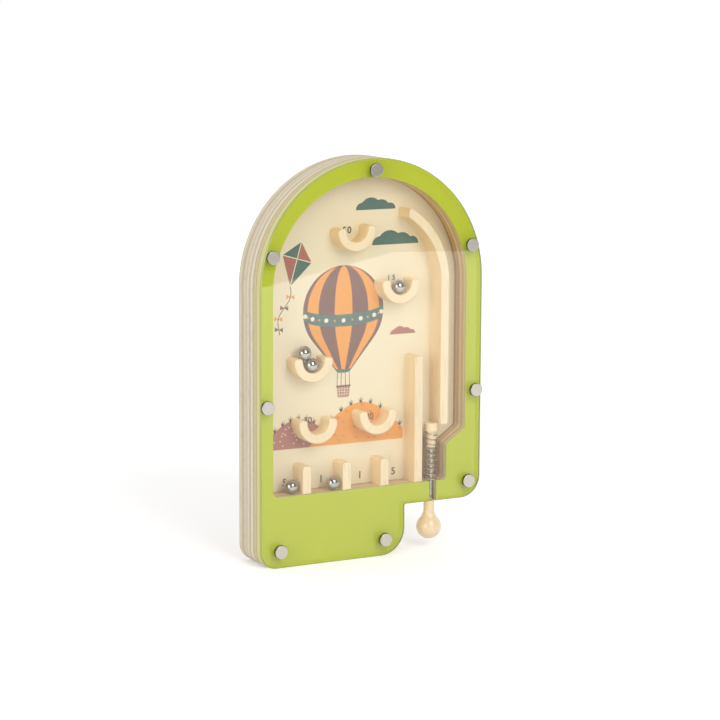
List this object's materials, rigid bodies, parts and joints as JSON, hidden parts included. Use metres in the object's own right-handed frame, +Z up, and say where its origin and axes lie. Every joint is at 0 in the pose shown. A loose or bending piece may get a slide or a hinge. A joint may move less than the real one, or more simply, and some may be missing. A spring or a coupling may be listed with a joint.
{
  "type": "tabletop pinball game",
  "caption": "Upright wooden tabletop pinball game with an arched clear front, scoring cups and lanes, steel balls and a sprung plunger that shoots them round a curved guide.",
  "frame": {"origin": "on the surface that the foot stands on, under the middle of the overall box", "axes": "+Z up, +X to the right seen from the front, the clear cover faces -Y"},
  "size_m": [0.1886, 0.0394, 0.3026],
  "materials": {
    "base_wood": "pale board, sealed; its front face is the playfield",
    "frame_wood": "pale board with its layers open at the edge",
    "green_face": "thin board, yellow-green paint on the front",
    "clear_sheet": "clear polished sheet",
    "stud": "satin cap heads",
    "field_wood": "sanded pale wood",
    "turned_wood": "turned and waxed pale wood",
    "rod_steel": "drawn wire",
    "spring_steel": "bright spring wire",
    "ball_steel": "polished bearing ball"
  },
  "bodies": {
    "board": {"base_board": "base_wood", "frame_ring": "frame_wood", "face_ring": "green_face", "clear_cover": "clear_sheet", "cover_studs": "stud", "plunger_spring": "spring_steel", "cup_1": "field_wood", "cup_2": "field_wood", "cup_3": "field_wood", "cup_4": "field_wood", "cup_5": "field_wood", "lane_divider_1": "field_wood", "lane_divider_2": "field_wood", "lane_divider_3": "field_wood", "launch_lane_strip": "field_wood", "curved_guide": "field_wood"},
    "plunger": {"plunger_head": "turned_wood", "plunger_rod": "rod_steel", "plunger_knob": "turned_wood"},
    "loose_ball_1": {"ball_1": "ball_steel"},
    "loose_ball_2": {"ball_2": "ball_steel"},
    "loose_ball_3": {"ball_3": "ball_steel"},
    "loose_ball_4": {"ball_4": "ball_steel"},
    "loose_ball_5": {"ball_5": "ball_steel"}
  },
  "joints": [
    {"name": "plunger_pull", "type": "slide", "parent": "board", "child": "plunger", "axis": [0, 0, -1], "range_m": [0, 0.018], "stiffness_N_per_m": 150, "springref_m": -0.01, "deforming": ["plunger_spring"]},
    {"name": "ball_1_lift", "type": "slide", "parent": "board", "child": "loose_ball_1", "axis": [0, 0, 1], "range_m": [0, 0.016]},
    {"name": "ball_2_lift", "type": "slide", "parent": "board", "child": "loose_ball_2", "axis": [0, 0, 1], "range_m": [0, 0.016]},
    {"name": "ball_3_lift", "type": "slide", "parent": "loose_ball_2", "child": "loose_ball_3", "axis": [0, 0, 1], "range_m": [0, 0.016]},
    {"name": "ball_4_lift", "type": "slide", "parent": "board", "child": "loose_ball_4", "axis": [0, 0, 1], "range_m": [0, 0.02]},
    {"name": "ball_5_lift", "type": "slide", "parent": "board", "child": "loose_ball_5", "axis": [0, 0, 1], "range_m": [0, 0.02]}
  ]
}
